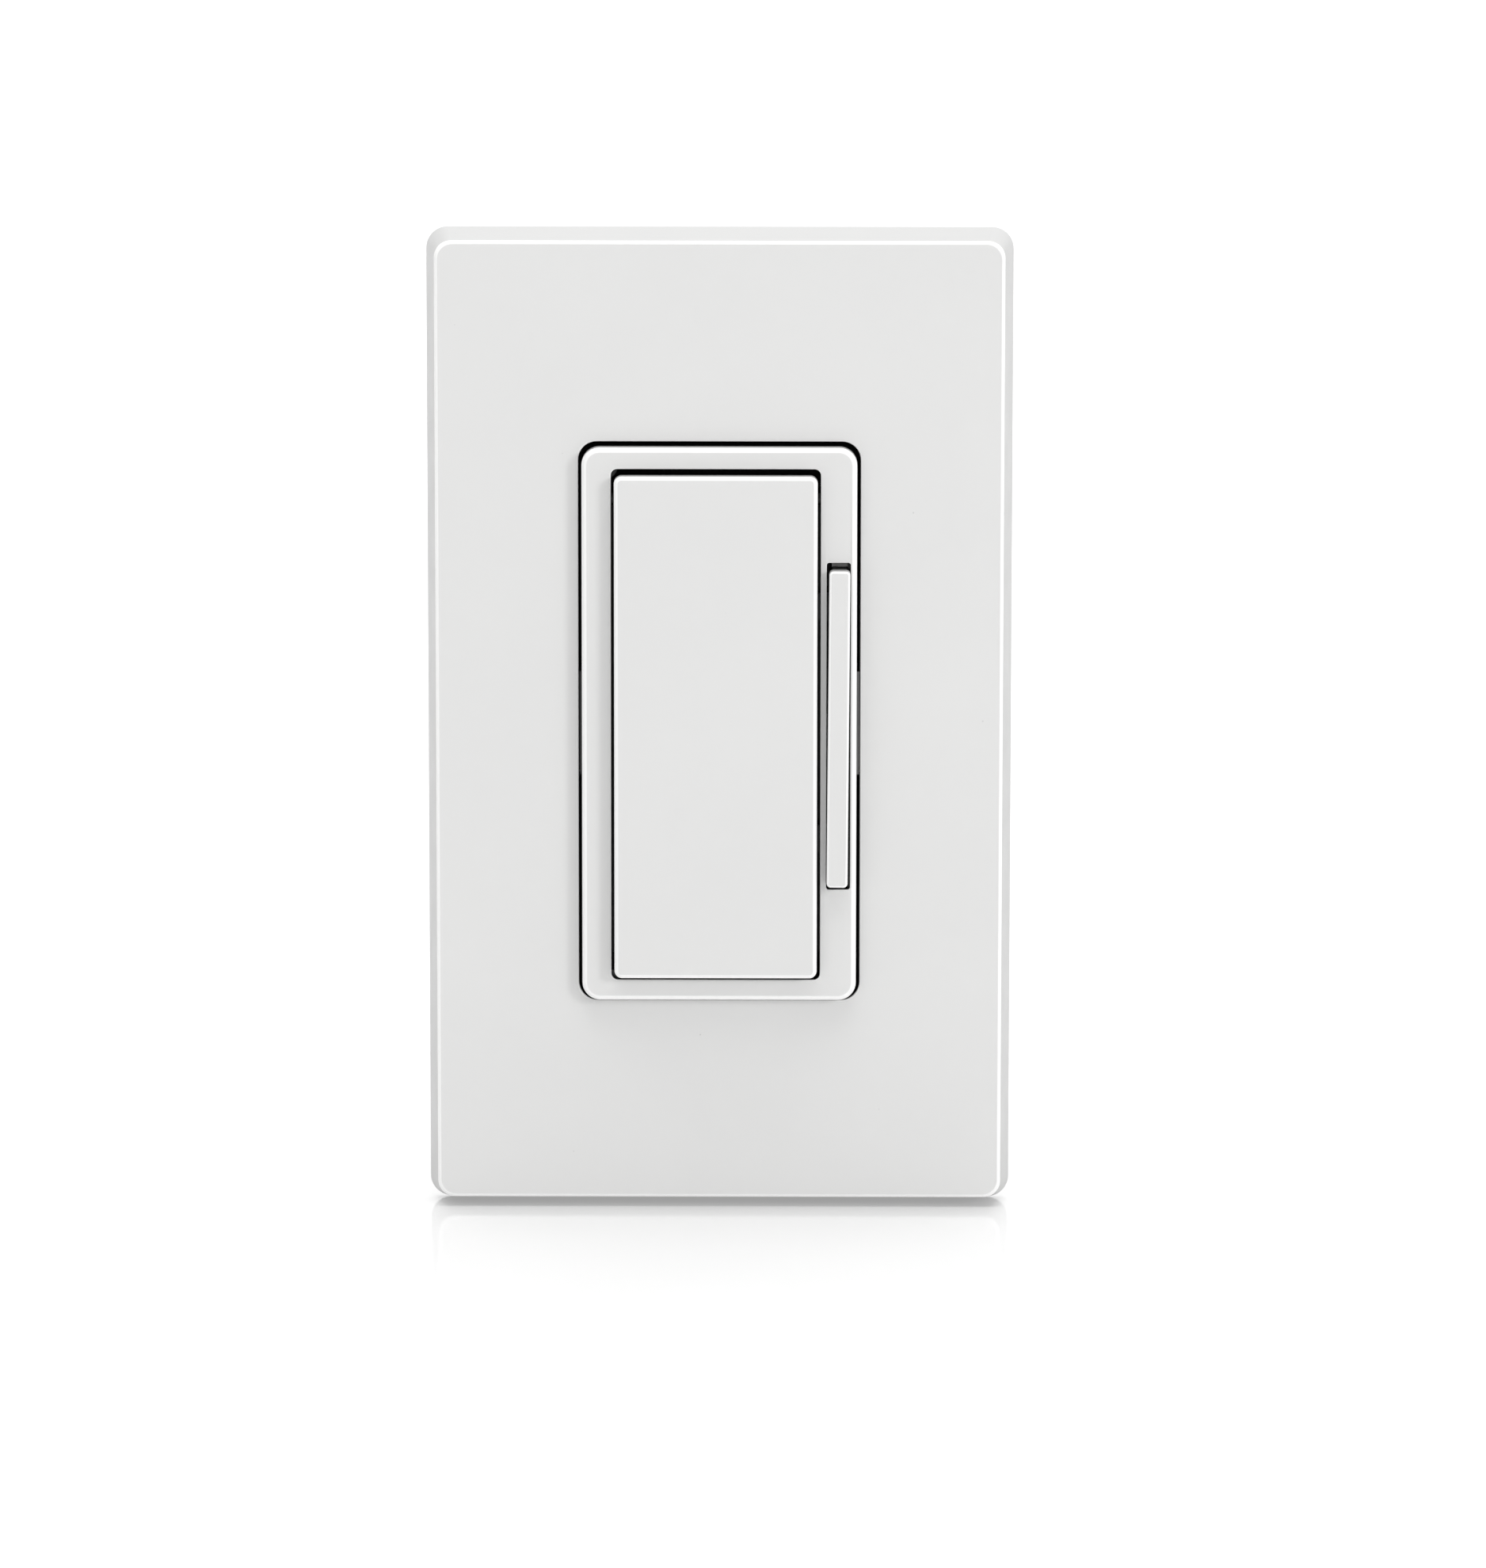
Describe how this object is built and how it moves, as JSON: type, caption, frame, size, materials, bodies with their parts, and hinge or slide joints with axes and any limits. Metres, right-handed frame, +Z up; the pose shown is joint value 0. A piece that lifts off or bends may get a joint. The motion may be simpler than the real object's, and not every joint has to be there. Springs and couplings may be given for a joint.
{
  "type": "dimmer switch",
  "caption": "Wall dimmer: a wide push paddle and a narrow bright/dim bar in a white frame and screwless wallplate, on a metal strap with side terminals and a rear housing.",
  "frame": {"origin": "on the wall surface, at the middle of the device between its two box screws", "axes": "+Z up, +Y into the wall, so the front faces -Y, and +X to the right seen from the front"},
  "size_m": [0.0698, 0.0401, 0.1176],
  "materials": {
    "white_plastic": "satin moulded",
    "bracket_plastic": "plain moulded",
    "housing_plastic": "fine textured moulding",
    "strap_aluminium": "rolled and stamped",
    "zinc_steel": "zinc plated",
    "brass": "plain",
    "green_steel": "green dyed plating",
    "fibre": "pressed fibre",
    "button_rubber": "soft",
    "circuit_board": "solder resist",
    "insulator": "thin sheet",
    "black_plastic": "moulded case",
    "capacitor_red": "moulded case",
    "component_blue": "dipped",
    "ferrite": "sintered",
    "enamelled_copper": "enamelled copper wire"
  },
  "bodies": {
    "device": {"wallplate_cover": "white_plastic", "face_frame": "white_plastic", "wallplate_bracket": "bracket_plastic", "back_housing": "housing_plastic", "mounting_strap": "strap_aluminium", "bracket_screw_top": "zinc_steel", "bracket_screw_bottom": "zinc_steel", "box_screw_top": "zinc_steel", "box_screw_bottom": "zinc_steel", "triac_screw": "zinc_steel", "housing_screw_1": "zinc_steel", "housing_screw_2": "zinc_steel", "housing_screw_3": "zinc_steel", "housing_screw_4": "zinc_steel", "neutral_terminal_screw": "zinc_steel", "line_terminal_clamp": "zinc_steel", "load_terminal_clamp": "zinc_steel", "neutral_terminal_clamp": "zinc_steel", "traveler_terminal_clamp": "zinc_steel", "line_terminal_screw": "brass", "load_terminal_screw": "brass", "traveler_terminal_screw": "brass", "line_terminal_lug": "brass", "load_terminal_lug": "brass", "neutral_terminal_lug": "brass", "traveler_terminal_lug": "brass", "ground_screw": "green_steel", "screw_retainer_top": "fibre", "screw_retainer_bottom": "fibre", "paddle_switch_button": "button_rubber", "brighter_switch_button": "button_rubber", "dimmer_switch_button": "button_rubber", "control_board": "circuit_board", "power_board": "circuit_board", "insulating_sheet": "insulator", "triac_pad": "insulator", "fuse": "insulator", "paddle_switch": "black_plastic", "brighter_switch": "black_plastic", "dimmer_switch": "black_plastic", "controller_chip": "black_plastic", "board_header": "black_plastic", "bridge_rectifier": "black_plastic", "triac": "black_plastic", "film_capacitor": "capacitor_red", "bulk_capacitor": "component_blue", "varistor": "component_blue", "choke_core": "ferrite", "supply_inductor": "ferrite", "choke_winding": "enamelled_copper"},
    "paddle": {"paddle": "white_plastic"},
    "dim_bar": {"dim_bar": "white_plastic"}
  },
  "joints": [
    {"name": "paddle_press", "type": "hinge", "parent": "device", "child": "paddle", "pos_m": [-0.00041, -0.0052, 0.027], "axis": [1, 0, 0], "range_deg": [0, 0.5], "stiffness_Nm_per_rad": 0.15, "deforming": ["paddle_switch_button"]},
    {"name": "dim_bar_rock", "type": "hinge", "parent": "device", "child": "dim_bar", "pos_m": [0.01417, -0.0054, 0], "axis": [1, 0, 0], "range_deg": [-1.5, 1.5], "stiffness_Nm_per_rad": 0.005, "deforming": ["brighter_switch_button", "dimmer_switch_button"]}
  ]
}
